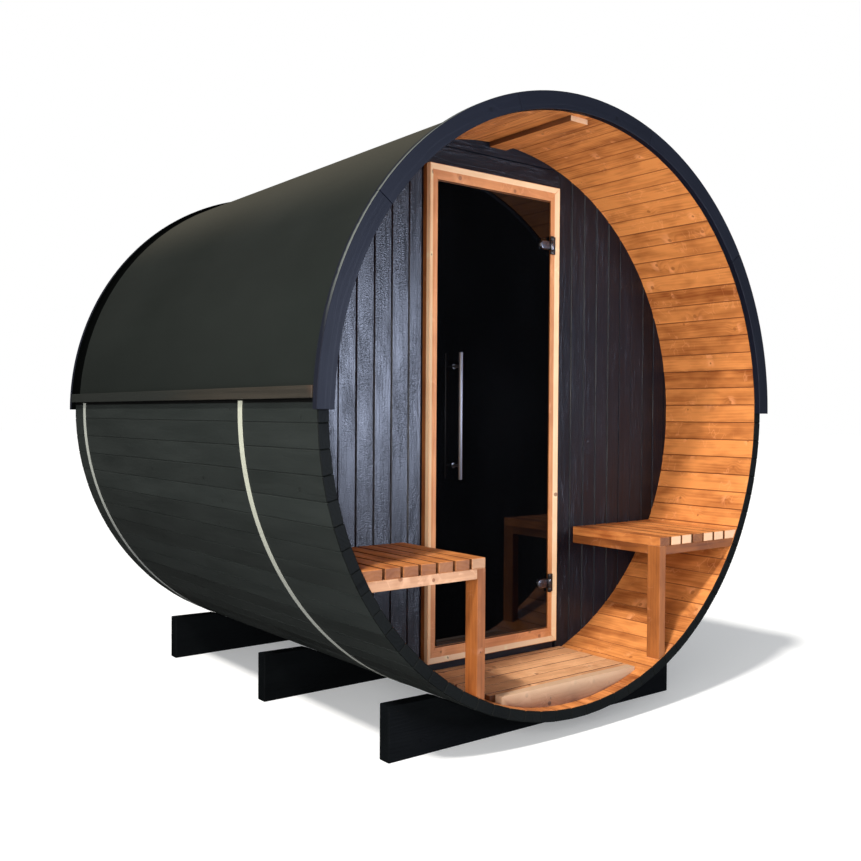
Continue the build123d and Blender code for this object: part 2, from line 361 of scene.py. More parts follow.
def charred_boards(name, base, specular):
    """Blue-black boards with a raised, rippled grain that catches the light."""
    g = Finish(name)
    wood = wood_figure(g, 0.12)
    place = wood.place
    tone = g.attribute("tone", "Fac")
    bend = g.noise(place, (30.0, 8.0, 30.0))
    sway = g.add("CombineXYZ", None, {0: bend * 6.0, 1: bend * 14.0})
    fine = g.stretched(place, (115.0, 250.0, 60.0))
    swayed = g.add("VectorMath", {"operation": "ADD"}, {0: fine, 1: sway})
    crackle = g.noise(swayed)
    lines = g.noise(place, (260.0, 7.0, 60.0), 3.0, 0.6)
    strength = g.noise(place, (14.0, 3.0, 9.0)).step(0.34, 0.6, 0.25, 1.0)
    height = crackle * strength + lines * 0.3 + wood.ring * 0.15 - wood.knot * 0.5
    shade = 1.0 + (tone - 0.5) * 0.5 + (lines - 0.5) * 0.8
    return g.set(
        Base_Color=g.shaded(base, shade),
        Specular_IOR_Level=specular,
        Roughness=(lines - 0.5) * 0.15 + 0.33,
        Normal=g.bump(height, 0.0015, 0.9),
    )


def roof_sheet(name, base):
    """Smooth dark sheet, dusty, and paler and warmer towards the crown as a painted highlight."""
    g = Finish(name)
    place = g.position()
    broad = g.noise(place, 1.7, 3.0)
    speck = g.noise(place, 420.0, 2.0, 0.6)
    dust = g.noise(place, (5.0, 1.2, 5.0), 4.0, 0.65)
    height = g.parts(place)[2]
    # Painted highlight: paler and warmer towards the crown
    warm = height.step(AXIS_Z + 0.62, AXIS_Z + 1.02) * 0.75
    body = g.mix(dust.step(0.35, 0.75) * 0.45, base, [c * 1.35 for c in base])
    body = g.mix(warm, body, (0.082, 0.078, 0.058))
    return g.set(
        Base_Color=body,
        Roughness=(broad - 0.5) * 0.2 + 0.56 + (speck - 0.5) * 0.1,
        Normal=g.bump(speck * 0.4 + broad * 2.0, 0.0006, 0.7),
    )


def brushed_metal(name, base, roughness, across, metallic=1.0, low_shade=None):
    """Metal brushed along one axis, with light smears. Low on the barrel it turns to another, darker colour,
    a painted shade.
    """
    g = Finish(name)
    place = g.position()
    lines = g.noise(place, across, 2.0, 0.6)
    smear = g.noise(place, 9.0, 3.0)
    body = g.mix(smear.step(0.35, 0.75) * 0.5, base, [c * 0.82 for c in base])
    # Painted shade: darker and greyer low on the barrel
    if low_shade:
        low = g.parts(place)[2].step(AXIS_Z - 0.75, AXIS_Z - 0.10, 1.0, 0.0)
        body = g.mix(low * 0.8 + lines.step(0.45, 0.7) * 0.15, body, low_shade)
    return g.set(
        Base_Color=body,
        Metallic=metallic,
        Roughness=(lines - 0.5) * 0.25 + roughness + (smear - 0.5) * 0.12,
        Normal=g.bump(lines, 0.00025, 0.6),
    )


def coated_metal(name):
    g = Finish(name)
    place = g.position()
    grit = g.noise(place, 900.0, 2.0)
    smear = g.noise(place, 40.0, 3.0)
    return g.set(
        Base_Color=g.mix(smear * 0.6, (0.010, 0.010, 0.012), (0.020, 0.020, 0.023)),
        Roughness=(smear - 0.5) * 0.2 + 0.30,
        Normal=g.bump(grit, 0.00012, 0.5),
    )


def dark_glass(name):
    g = Finish(name)
    place = g.position()
    haze = g.noise(place, (3.0, 3.0, 1.4), 4.0, 0.6)
    wave = g.noise(place, 1.4, 1.0)
    return g.set(
        IOR=1.40,
        Base_Color=g.mix(haze.step(0.3, 0.8), (0.0012, 0.0014, 0.0020), (0.0026, 0.0030, 0.0040)),
        Roughness=haze.step(0.35, 0.85, 0.015, 0.05),
        Alpha=haze.step(0.2, 0.9, 0.955, 0.975),
        Normal=g.bump(wave, 0.0008, 0.3),
    )


def arch_rim(name, base):
    """Arch paint whose outer rim turns pale at the front edge towards the crown, a painted highlight."""
    g = Finish(name)
    place = g.position()
    _, depth, height = g.parts(place)
    chips = g.noise(place, 60.0, 3.0, 0.6)
    front_edge = (depth - FRONT_Y + chips * 0.012).step(-0.012, -0.004, 1.0, 0.0)
    # Painted highlight on the rim's front edge, growing towards the crown
    wear_and_highlight = height.step(AXIS_Z + 0.20, AXIS_Z + 0.50) * front_edge
    return g.set(
        Base_Color=g.mix(wear_and_highlight * 0.9, base, (0.13, 0.145, 0.135)),
        Roughness=chips * 0.1 + 0.5,
        Normal=g.bump(chips, 0.0004, 0.5),
    )


def batten_stain(name):
    """Stain that has worn to brown wood towards the front end of the battens."""
    g = Finish(name)
    wood = wood_figure(g, 0.9)
    place = g.position()
    from_front = g.parts(place)[1] - FRONT_Y
    wear_and_highlight = g.noise(wood.place, (30.0, 3.0, 30.0), 4.0, 0.6)
    bare = (from_front + wear_and_highlight * 0.8).step(0.75, 1.75, 1.0, 0.0)
    brown = g.mix(wood.streak.step(0.3, 0.7), (0.038, 0.031, 0.022), (0.022, 0.019, 0.014))
    red = g.mix(wood.halo * 0.5, brown, (0.070, 0.036, 0.021))
    red = g.mix(wood.knot * 0.8, red, (0.018, 0.010, 0.008))
    body = g.mix(bare * 0.9, (0.0145, 0.0175, 0.0155), red)
    height = wood.ring * 0.4 + wood.fibre * 0.6
    return g.set(Base_Color=body, Roughness=wear_and_highlight * 0.2 + 0.5, Normal=g.bump(height, 0.0008, 0.7))


def recipes(c):
    """The maker and the values of each material, with the user's colours in c."""
    return {
        "oiled_staves": (natural_wood, c.oiled, c.oiled_dark, (0.34, 0.11, 0.03), 0.46, 0.62, 0.85),
        # Dark oiled wood for the joints between staves, and for painted shade on the door frame's sides in
        # the gap and its inner reveal
        "oiled_seam": (natural_wood, (0.40, 0.135, 0.036), (0.18, 0.052, 0.014), c.knot, 0.6, 0.3, 0.1),
        # Dark brown wood for painted shade: board and slat sides in their gaps, the deck boards' left ends
        # and the ceiling board's sides
        "board_side": (natural_wood, (0.15, 0.050, 0.014), (0.07, 0.023, 0.007), c.knot, 0.7, 0.3, 0.1),
        "frame_wood": (
            natural_wood, c.trim, c.trim_dark, (0.32, 0.12, 0.045), 0.50, 0.25, 0.5, 0.0, (30.0, 4.0)
        ),
        # Pale trim wood that is also a painted highlight, on the door frame's chamfers and outer sides
        "frame_edge": (
            natural_wood, (0.94, 0.69, 0.44), (0.86, 0.55, 0.31), c.knot, 0.5, 0.2, 0.3, 0.0, (30.0, 3.0)
        ),
        "deck_wood": (natural_wood, c.deck, c.deck_dark, c.knot, 0.58, 0.55, 0.9, 0.25),
        "front_board": (
            natural_wood, (0.27, 0.120, 0.058), (0.13, 0.050, 0.023), (0.040, 0.016, 0.009),
            0.6, 0.3, 1.0, 0.14, (17.0, 8.0),
        ),
        "bench_wood": (natural_wood, c.oiled, c.oiled_dark, c.knot, 0.50, 0.7, 0.5),
        "bench_rail": (
            natural_wood, (0.62, 0.355, 0.215), (0.34, 0.160, 0.085), c.knot, 0.6, 0.5, 0.9, 0.3, (20.0, 7.0)
        ),
        "bench_frame": (
            natural_wood, (0.34, 0.112, 0.026), (0.15, 0.041, 0.009), (0.05, 0.018, 0.008), 0.52, 0.5, 0.5
        ),
        "outside_stain": (painted_wood, c.stain, 0.58, 0.0006, 0.35, 0.5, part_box("side_batten_left")[0].z),
        "stave_end_paint": (painted_wood, (0.0052, 0.0066, 0.0066), 0.6, 0.0006, 0.3, 0.08),
        "arch_paint": (painted_wood, c.arch, 0.50, 0.0004, 0.2, 0.15),
        # Near-black finish that paints the shade by the rear arch, on the cover's rear strip and the rear
        # arch's front face
        "edge_strip": (painted_wood, (0.0012, 0.0016, 0.0016), 0.8, 0.0002, 0.2, 0.02),
        "black_stain": (painted_wood, c.black, 0.6, 0.0008, 0.5, 0.06),
        "arch_rim": (arch_rim, c.arch),
        "batten_stain": (batten_stain,),
        "wall_boards": (charred_boards, c.wall, 0.42),
        "matt_wall_boards": (charred_boards, c.wall, 0.23),
        "roof_sheet": (roof_sheet, c.cover),
        "middle_band_steel": (
            brushed_metal, (0.52, 0.54, 0.44), 0.45, (40.0, 900.0, 40.0), 0.2, (0.26, 0.27, 0.26)
        ),
        "rear_band_steel": (
            brushed_metal, (0.42, 0.44, 0.40), 0.45, (40.0, 900.0, 40.0), 0.2, (0.20, 0.21, 0.21)
        ),
        "handle_steel": (brushed_metal, (0.24, 0.24, 0.26), 0.48, (300.0, 300.0, 12.0)),
        "hinge_arm": (brushed_metal, (0.13, 0.13, 0.14), 0.30, (200.0, 200.0, 200.0)),
        "hinge_coat": (coated_metal,),
        "door_glass_tint": (dark_glass,),
    }


FINISHES = {}


def finish(name):
    """The material of that name, made the first time it is asked for."""
    if name not in FINISHES:
        maker, *values = recipes(bpy.context.scene.sauna_colours)[name]
        FINISHES[name] = maker(name, *values)
    return FINISHES[name]


# Mesh helpers
def paint_layers(bm):
    """The three vertex layers that the wood finishes read."""
    layers = bm.verts.layers
    grain = layers.float_vector.get("grain") or layers.float_vector.new("grain")
    tone = layers.float.get("tone") or layers.float.new("tone")
    end = layers.float.get("end_grain") or layers.float.new("end_grain")
    return grain, tone, end


def set_grain(bm, order, rng, tone=None):
    """Gives a board its own place in the tree. order names the axes that run across, along and through it."""
    grain, tones, ends = paint_layers(bm)
    low = [min(v.co[k] for v in bm.verts) for k in range(3)]
    high = [max(v.co[k] for v in bm.verts) for k in range(3)]
    pith = Vector((rng.uniform(-0.05, 0.05), rng.uniform(0, 90), rng.uniform(0.02, 0.07)))
    tone = rng.random() if tone is None else tone
    along = order[1]
    for v in bm.verts:
        local = [v.co[k] - (low[k] + high[k]) / 2 for k in order]
        v[grain] = Vector(local) + pith
        v[tones] = tone
        v[ends] = 1.0 if min(v.co[along] - low[along], high[along] - v.co[along]) < 0.0004 else 0.0


def bevel(bm, edges, offset, segments):
    bmesh.ops.bevel(
        bm, geom=edges, offset=offset, offset_type="OFFSET", segments=segments, profile=0.5,
        affect="EDGES", material=-1, clamp_overlap=True,
    )


def ease_edges(bm, offset, segments=2, sharp=0.6):
    """Bevels every edge that turns more than sharp, in radians."""
    bevel(bm, [e for e in bm.edges if e.calc_face_angle(0) > sharp], offset, segments)


def cut(bm, point, normal, clear=True):
    """Cuts through a plane. It clears the side that normal points to and closes the cut, or clears none."""
    geom = bm.verts[:] + bm.edges[:] + bm.faces[:]
    bmesh.ops.bisect_plane(bm, geom=geom, dist=1e-6, plane_co=point, plane_no=normal, clear_outer=clear)
    rim = [e for e in bm.edges if e.is_boundary]
    if rim:
        bmesh.ops.holes_fill(bm, edges=rim, sides=0)


def box_between(low, high):
    bm = bmesh.new()
    bmesh.ops.create_cube(bm, size=1.0)
    size = Vector(high) - Vector(low)
    bmesh.ops.scale(bm, vec=size, verts=bm.verts)
    bmesh.ops.translate(bm, vec=(Vector(high) + Vector(low)) / 2, verts=bm.verts)
    return bm


def put(bm, turn, shift):
    """Turns a mesh about the origin and then moves it."""
    bmesh.ops.rotate(bm, cent=(0, 0, 0), matrix=turn, verts=bm.verts)
    bmesh.ops.translate(bm, vec=shift, verts=bm.verts)


def extrude(bm, shift):
    """Pulls the mesh's only face out into a solid."""
    made = bmesh.ops.extrude_face_region(bm, geom=bm.faces[:])["geom"]
    moved = [v for v in made if isinstance(v, bmesh.types.BMVert)]
    bmesh.ops.translate(bm, vec=shift, verts=moved)
    bmesh.ops.recalc_face_normals(bm, faces=bm.faces)


def spin(bm, size, steps):
    """Sweeps a mesh round the barrel's axis by size, in radians."""
    bmesh.ops.spin(
        bm, geom=bm.verts[:] + bm.edges[:] + bm.faces[:], cent=(0, 0, AXIS_Z), axis=(0, -1, 0),
        angle=size, steps=steps, use_merge=False, use_duplicate=False,
    )
    bmesh.ops.recalc_face_normals(bm, faces=bm.faces)


def disc_board(x, y, z):
    """What a board between two values on each axis keeps inside the barrel."""
    bm = bmesh.new()
    bmesh.ops.create_circle(bm, cap_ends=True, segments=180, radius=FIT_R)
    put(bm, Matrix.Rotation(math.pi / 2, 3, "X"), (0, y[0], AXIS_Z))
    extrude(bm, (0, y[1] - y[0], 0))
    for k, values in ((0, x), (2, z)):
        for value, sign in zip(values, (-1, 1)):
            point, normal = Vector(), Vector()
            point[k], normal[k] = value, sign
            cut(bm, point, normal)
    return bm


def fitted(node, deeper=0.01):
    """What a node's box, made deeper, keeps inside the barrel."""
    low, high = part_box(node)
    return disc_board((low.x, high.x), (low.y, high.y), (low.z - deeper, high.z))


def cylinder(centre, axis, length, radius, steps, ease=0.0):
    """A rod centred at a point, along Y or Z."""
    bm = bmesh.new()
    bmesh.ops.create_cone(bm, cap_ends=True, segments=steps, radius1=radius, radius2=radius, depth=length)
    if ease:
        ease_edges(bm, ease)
    put(bm, Matrix.Rotation(math.pi / 2 if axis == "Y" else 0, 3, "X"), centre)
    return bm


def paint_faces(bm, index, test):
    """Gives the faces that pass a test the material of that index."""
    for face in bm.faces:
        if test(face):
            face.material_index = index


def gather(parts):
    """One mesh out of several."""
    whole = bmesh.new()
    paint_layers(whole)
    for part in parts:
        paint_layers(part)
        mesh = bpy.data.meshes.new("part")
        part.to_mesh(mesh)
        part.free()
        whole.from_mesh(mesh)
        bpy.data.meshes.remove(mesh)
    return whole


def smooth(bm, angle=0.6):
    for face in bm.faces:
        face.smooth = True
    for edge in bm.edges:
        edge.smooth = edge.calc_face_angle(0) < angle


def piece(name, bm, finishes, node, body="sauna"):
    """Makes the object, puts it on its body and lets it stand for its node."""
    mesh = bpy.data.meshes.new(name)
    bm.normal_update()
    bm.to_mesh(mesh)
    bm.free()
    for one in finishes:
        mesh.materials.append(finish(one))
    obj = bpy.data.objects.new(name, mesh)
    bpy.context.scene.collection.objects.link(obj)
    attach(obj, body)
    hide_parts(node)


# One operator for each group of pieces, and one for the stage
class Step(bpy.types.Operator):
    """Base of the sauna's operators"""

    bl_options = {"REGISTER", "UNDO"}

    def execute(self, context):
        self.make(context.scene.sauna_sizes)
        return {"FINISHED"}


class SAUNA_OT_staves(Step):
    """Make the staves of the barrel, stained outside and oiled inside"""

    bl_idname = "sauna.staves"
    bl_label = "Staves"
    coats = ["outside_stain", "oiled_staves", "stave_end_paint", "oiled_seam"]
    inside, end, seam = 1, 2, 3

    def stave(self, angle, half, ease, rng):
        low = (-INNER_R * math.sin(half), FRONT_Y, INNER_R * math.cos(half))
        high = (INNER_R * math.sin(half), REAR_Y, OUTER_R * math.cos(half))
        bm = box_between(low, high)
        grow = OUTER_R / INNER_R
        outer = [v for v in bm.verts if v.co.z > (low[2] + high[2]) / 2]
        bmesh.ops.scale(bm, vec=(grow, 1, 1), verts=outer)
        side_gap, end_play, height_play = 0.00008, 0.0006, 0.0003
        bmesh.ops.scale(bm, vec=(1 - side_gap / high[0], 1, 1), verts=bm.verts)
        short = (rng.uniform(0, end_play), rng.uniform(0, end_play))
        for v in bm.verts:
            v.co.y += short[0] if v.co.y < 0 else -short[1]
        ease_edges(bm, ease, 1)
        paint_faces(bm, self.seam, lambda face: face.normal.z < -0.2)
        paint_faces(bm, self.inside, lambda face: face.normal.z < -0.9)
        paint_faces(bm, self.end, lambda face: abs(face.normal.y) > 0.5)
        set_grain(bm, LENGTHWISE_FLAT, rng)
        bmesh.ops.translate(bm, vec=(0, 0, rng.uniform(-height_play, height_play)), verts=bm.verts)
        put(bm, Matrix.Rotation(math.pi / 2 - angle, 3, "Y"), (0, 0, AXIS_Z))
        return bm

    def make(self, sizes):
        rng = random.Random(11)
        half = math.pi / sizes.stave_count
        each = sizes.stave_count // len(SEGMENTS)
        for index, name in enumerate(SEGMENTS):
            first = index * each - each // 2
            staves = [
                self.stave(2 * half * (first + k), half, sizes.stave_ease, rng) for k in range(each)
            ]
            piece(f"staves_{name}", gather(staves), self.coats, f"barrel_wall_{name}")


class SAUNA_OT_roof_cover(Step):
    """Make the sheet over the upper half of the barrel"""

    bl_idname = "sauna.roof_cover"
    bl_label = "Roof cover"

    def make(self, sizes):
        low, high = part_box("roof_cover")
        sheet, swell_height, sag = 0.002, 0.0006, 0.00022
        radius = high.z - AXIS_Z
        start = math.asin((low.z - AXIS_Z) / radius)
        rows = 64
        bm = bmesh.new()
        bmesh.ops.create_grid(bm, x_segments=1, y_segments=rows, size=0.5)
        line = [e for e in bm.edges if all(v.co.x < 0 for v in e.verts)]
        keep = {v for e in line for v in e.verts}
        bmesh.ops.delete(bm, geom=[v for v in bm.verts if v not in keep], context="VERTS")
        for v in bm.verts:
            share = v.co.y + 0.5
            y = low.y + share * (high.y - low.y)
            v.co = (radius * math.cos(start), y, AXIS_Z + radius * math.sin(start))
        spin(bm, math.pi - 2 * start, 3 * sizes.stave_count)
        for v in bm.verts:
            out = Vector((v.co.x, 0, v.co.z - AXIS_Z)).normalized()
            swell = noise.noise(Vector((v.co.x * 2.1, v.co.y * 1.3, v.co.z * 2.1)))
            angle = math.atan2(out.z, out.x) / (2 * math.pi / sizes.stave_count)
            v.co += out * (swell_height * swell - sag * math.cos(2 * math.pi * (angle - 0.5)))
        if sum(face.normal.dot(outward(face)) for face in bm.faces) < 0:
            bmesh.ops.reverse_faces(bm, faces=bm.faces)
        bmesh.ops.solidify(bm, geom=bm.faces[:], thickness=sheet)
        # Painted shade: the cover's rear strip, under the rear arch, gets the near-black finish
        strip = REAR_Y - sizes.strip_width
        paint_faces(bm, 1, lambda face: face.calc_center_median().y > strip)
        smooth(bm)
        piece("roof_sheet", bm, ["roof_sheet", "edge_strip"], "roof_cover")


class SAUNA_OT_side_battens(Step):
    """Make the battens that hold the lower edges of the cover"""

    bl_idname = "sauna.side_battens"
    bl_label = "Side battens"

    def make(self, sizes):
        rng = random.Random(21)
        for side in ("left", "right"):
            low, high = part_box(f"side_batten_{side}")
            bm = box_between(low, high)
            ease_edges(bm, 0.0025)
            set_grain(bm, LENGTHWISE_ON_EDGE, rng)
            piece(f"batten_{side}", bm, ["batten_stain"], f"side_batten_{side}")


def outward(face):
    """The direction from the barrel's axis to the middle of a face."""
    middle = face.calc_center_median()
    return Vector((middle.x, 0, middle.z - AXIS_Z)).normalized()


def arc_bar(r_in, r_out, y, start, size, steps):
    """A bar of rectangular section bent round the barrel's axis."""
    bm = bmesh.new()
    bmesh.ops.create_grid(bm, x_segments=1, y_segments=1, size=0.5)
    for v in bm.verts:
        r = r_in if v.co.x < 0 else r_out
        v.co = (r * math.cos(start), y[0] if v.co.y < 0 else y[1], AXIS_Z + r * math.sin(start))
    spin(bm, size, steps)
    return bm


class SAUNA_OT_arches(Step):
    """Make the front and rear arches, each of five boards"""

    bl_idname = "sauna.arches"
    bl_label = "Arches"

    def make(self, sizes):
        rng = random.Random(31)
        count, joint, lip = 5, 0.0006, 0.004
        for end in ("front", "rear"):
            low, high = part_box(f"{end}_arch")
            outer = high.x
            inner = INNER_R - lip
            boards = []
            for k in range(count):
                step = math.pi / count
                bm = arc_bar(inner, outer, (low.y, high.y), k * step + joint, step - 2 * joint, 32)
                ease_edges(bm, 0.0016)
                grain, tones, ends = paint_layers(bm)
                tone = rng.random()
                shift = Vector((rng.uniform(-0.04, 0.04), rng.uniform(0, 60), 0.04))
                for v in bm.verts:
                    r = math.hypot(v.co.x, v.co.z - AXIS_Z)
                    a = math.atan2(v.co.z - AXIS_Z, v.co.x)
                    v[grain] = Vector((r - outer, a * outer, v.co.y - low.y)) + shift
                    v[tones] = tone
                # The outer rim gets the finish with the painted highlight
                paint_faces(bm, 1, lambda face: face.normal.dot(outward(face)) > 0.9)
                # Painted shade: the rear arch's front face gets the near-black finish
                if end == "rear":
                    paint_faces(bm, 2, lambda face: face.normal.y < -0.5)
                boards.append(bm)
            bm = gather(boards)
            smooth(bm, 0.3)
            coats = ["arch_paint", "arch_rim", "edge_strip"]
            piece(f"{end}_arch_boards", bm, coats, f"{end}_arch")


class SAUNA_OT_steel_bands(Step):
    """Make the steel bands round the lower half"""

    bl_idname = "sauna.steel_bands"
    bl_label = "Steel bands"

    def make(self, sizes):
        thickness = 0.0015
        for place in ("middle", "rear"):
            low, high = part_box(f"steel_band_{place}")
            outer = high.x
            top = math.asin((high.z - AXIS_Z) / outer)
            bm = arc_bar(outer - thickness, outer, (low.y, high.y), math.pi - top, math.pi + 2 * top, 176)
            ease_edges(bm, 0.0003, 1)
            smooth(bm, 0.3)
            piece(f"band_{place}", bm, [f"{place}_band_steel"], f"steel_band_{place}")


class SAUNA_OT_cradles(Step):
    """Make the three planks that carry the barrel"""

    bl_idname = "sauna.cradles"
    bl_label = "Cradles"

    def make(self, sizes):
        rng = random.Random(41)
        clearance, lines = 0.0005, 40
        saddle = OUTER_R + clearance
        for place in ("front", "middle", "rear"):
            low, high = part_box(f"cradle_{place}")
            bm = box_between(low, high)
            edge = math.sqrt(saddle**2 - (AXIS_Z - high.z) ** 2)
            for k in range(lines + 1):
                cut(bm, (-edge + 2 * edge * k / lines, 0, 0), (1, 0, 0), clear=False)
            for v in bm.verts:
                if v.co.z > low.z + 0.001 and abs(v.co.x) < edge:
                    v.co.z = min(high.z, AXIS_Z - math.sqrt(saddle**2 - v.co.x**2))
            ease_edges(bm, 0.004)
            set_grain(bm, CROSSWISE_ON_EDGE, rng)
            piece(f"cradle_plank_{place}", bm, ["black_stain"], f"cradle_{place}")


class SAUNA_OT_end_walls(Step):
    """Make the boards of the front and rear walls"""

    bl_idname = "sauna.end_walls"
    bl_label = "End walls"

    def board(self, x, z, y, groove, order, rng, dark_low):
        """One wall board, grooved along its sides and dark on the face at low or high Y."""
        bm = disc_board(x, y, z)
        side = order[0]
        rails = (x, z)[side // 2]
        edges = [
            e for e in bm.edges
            if e.calc_face_angle(0) > 1.2
            and abs(e.verts[0].co.y - e.verts[1].co.y) < 1e-6
            and any(all(abs(v.co[side] - r) < 1e-5 for v in e.verts) for r in rails)
        ]
        bevel(bm, edges, groove, 1)
        inward = 1 if dark_low else -1
        paint_faces(bm, 1, lambda face: face.normal.y * inward > 0.5)
        set_grain(bm, order, rng)
        return bm

    def make(self, sizes):
        rng = random.Random(51)
        y = [v.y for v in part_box("front_wall_left")]
        pitch, groove = sizes.board_pitch, sizes.board_groove
        joint, clearance, recess, first_seam = 0.0004, 0.0003, 0.016, 0.431
        inset, over_joint, gap_groove, narrowest = 0.0005, 0.0006, 0.001, 0.002
        frame_low = Vector((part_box("door_jamb_left")[0].x, 0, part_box("door_sill")[0].z))
        frame_high = Vector((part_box("door_jamb_right")[1].x, 0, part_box("door_head")[1].z))
        full = (AXIS_Z - 2 * FIT_R, AXIS_Z + 2 * FIT_R)
        seams = [first_seam + k * pitch for k in range(math.ceil((FIT_R - first_seam) / pitch))]
        coats = ["wall_boards", "oiled_staves"]
        matt = ["matt_wall_boards", "oiled_staves"]
        for side, sign, edge, coat in (("left", -1, frame_low.x, coats), ("right", 1, frame_high.x, matt)):
            marks = [edge + sign * sizes.frame_gap] + [sign * s for s in seams] + [sign * FIT_R]
            boards = []
            for a, b in zip(marks, marks[1:]):
                x = (min(a, b) + joint, max(a, b) - joint)
                boards.append(self.board(x, full, y, groove, UPRIGHT, rng, True))
            gap = sorted((edge + sign * clearance, marks[0]))
            beside = (full[0], frame_high.z)
            boards.append(self.board(gap, beside, (y[0] + recess, y[1]), gap_groove, UPRIGHT, rng, True))
            piece(f"front_boards_{side}", gather(boards), coat, f"front_wall_{side}")
        x = (frame_low.x - sizes.frame_gap + joint, frame_high.x + sizes.frame_gap - joint)
        over = [frame_high.z + clearance, frame_high.z + pitch, AXIS_Z + FIT_R + 0.01]
        boards = [
            self.board(x, (a, b - over_joint), y, groove, CROSSWISE_ON_EDGE, rng, True)
            for a, b in zip(over, over[1:])
        ]
        piece("front_boards_over_door", gather(boards), matt, "front_wall_over_door")
        x = (frame_low.x + inset, frame_high.x - inset)
        z = (full[0], frame_low.z - clearance)
        under = self.board(x, z, y, groove, CROSSWISE_ON_EDGE, rng, True)
        piece("front_board_under_door", under, matt, "front_wall_under_door")
        y = [v.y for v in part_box("rear_wall")]
        half = math.ceil(FIT_R / pitch)
        marks = [max(-FIT_R, min(FIT_R, (k - 0.5) * pitch)) for k in range(-half, half + 2)]
        boards = [
            self.board((a + joint, b - joint), full, y, groove, UPRIGHT, rng, False)
            for a, b in zip(marks, marks[1:]) if b - a > narrowest
        ]
        piece("rear_boards", gather(boards), coats, "rear_wall")


class SAUNA_OT_door_frame(Step):
    """Make the door frame's four mitred members"""

    bl_idname = "sauna.door_frame"
    bl_label = "Door frame"

    def member(self, face, length):
        """A member lying along X, its outer edge at Z = 0 and its face towards -Y, before it is mitred."""
        land, chamfer, seat, stop, lip, depth = 0.002, 0.021, 0.009, 0.023, 0.014, 0.090
        outline = [
            (0, 0), (-land, 0), (-chamfer, seat), (-face, seat), (-face, stop),
            (-face - lip, stop), (-face - lip, depth), (0, depth),
        ]
        bm = bmesh.new()
        bm.faces.new([bm.verts.new((-length / 2, y, z)) for z, y in outline])
        extrude(bm, (length, 0, 0))
        return bm

    def make(self, sizes):
        rng = random.Random(61)
        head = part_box("door_head")
        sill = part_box("door_sill")
        left, right = head[0].x, head[1].x
        top, bottom = head[1].z, sill[0].z
        front = head[0].y
        jamb_face, head_face, lip = 0.044, 0.057, 0.014
        shown = 0.020
        middle = Vector(((left + right) / 2, front, (top + bottom) / 2))
        width, height = right - left, top - bottom
        members = {
            "door_head": (head_face, width, 0.0, height / 2),
            "door_sill": (head_face, width, math.pi, height / 2),
            "door_jamb_left": (jamb_face, height, -math.pi / 2, width / 2),
            "door_jamb_right": (jamb_face, height, math.pi / 2, width / 2),
        }
        for name, (face, length, turn, reach) in members.items():
            bm = self.member(face, length)
            run = face + lip
            back = (jamb_face if face == head_face else head_face) + lip
            for sign in (-1, 1):
                cut(bm, (sign * length / 2, 0, 0), Vector((sign * run, 0, -back)))
            # Painted shade: the frame's sides beyond the shown depth, in the shadow gap, and the inner reveal
            # get the dark seam finish
            cut(bm, (0, shown, 0), (0, 1, 0), clear=False)
            paint_faces(bm, 2, lambda side: abs(side.normal.z) > 0.9)
            # The outer sides up to the shown depth and the chamfers get the pale edge finish: paler wood and
            # a painted highlight
            paint_faces(bm, 1, lambda side: side.normal.z > 0.9 and side.calc_center_median().y <= shown)
            paint_faces(bm, 1, lambda side: side.normal.z < -0.15 and side.normal.y < -0.15)
            ease_edges(bm, 0.0011, 2, 0.3)
            set_grain(bm, CROSSWISE_ON_EDGE, rng)
            bmesh.ops.translate(bm, vec=(0, 0, reach), verts=bm.verts)
            put(bm, Matrix.Rotation(turn, 3, "Y"), middle)
            piece(f"{name}_member", bm, ["frame_wood", "frame_edge", "oiled_seam"], name)


class SAUNA_OT_door_leaf(Step):
    """Finish the glass leaf and make its handle"""

    bl_idname = "sauna.door_leaf"
    bl_label = "Door leaf"

    def make(self, sizes):
        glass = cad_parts["door_glass"]
        glass.data.materials.clear()
        glass.data.materials.append(finish("door_glass_tint"))
        low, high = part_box("door_handle")
        pane_front, pane_back = (corner.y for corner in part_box("door_glass"))
        bar_radius, bar_depth, post_inset, post_radius = 0.0075, 0.0105, 0.053, 0.0055
        collar, collar_radius, washer_radius = 0.0024, 0.0105, 0.012
        x = (low.x + high.x) / 2
        bar_y = low.y + bar_depth
        reach = pane_front - bar_y
        middle = (low.z + high.z) / 2
        parts = [cylinder((x, bar_y, middle), "Z", high.z - low.z, bar_radius, 48, 0.0012)]
        for sign in (-1, 1):
            z = middle + sign * ((high.z - low.z) / 2 - post_inset)
            washer = high.y - pane_back
            posts = [
                cylinder((x, bar_y + reach / 2, z), "Y", reach, post_radius, 32),
                cylinder((x, pane_front - collar / 2, z), "Y", collar, collar_radius, 40, 0.0006),
                cylinder((x, pane_back + washer / 2, z), "Y", washer, washer_radius, 40, 0.001),
            ]
            for post in posts:
                for face in post.faces:
                    face.material_index = 1
            parts += posts
        bm = gather(parts)
        smooth(bm)
        coats = ["handle_steel", "hinge_coat"]
        piece("handle_bar", bm, coats, "door_handle", "door")


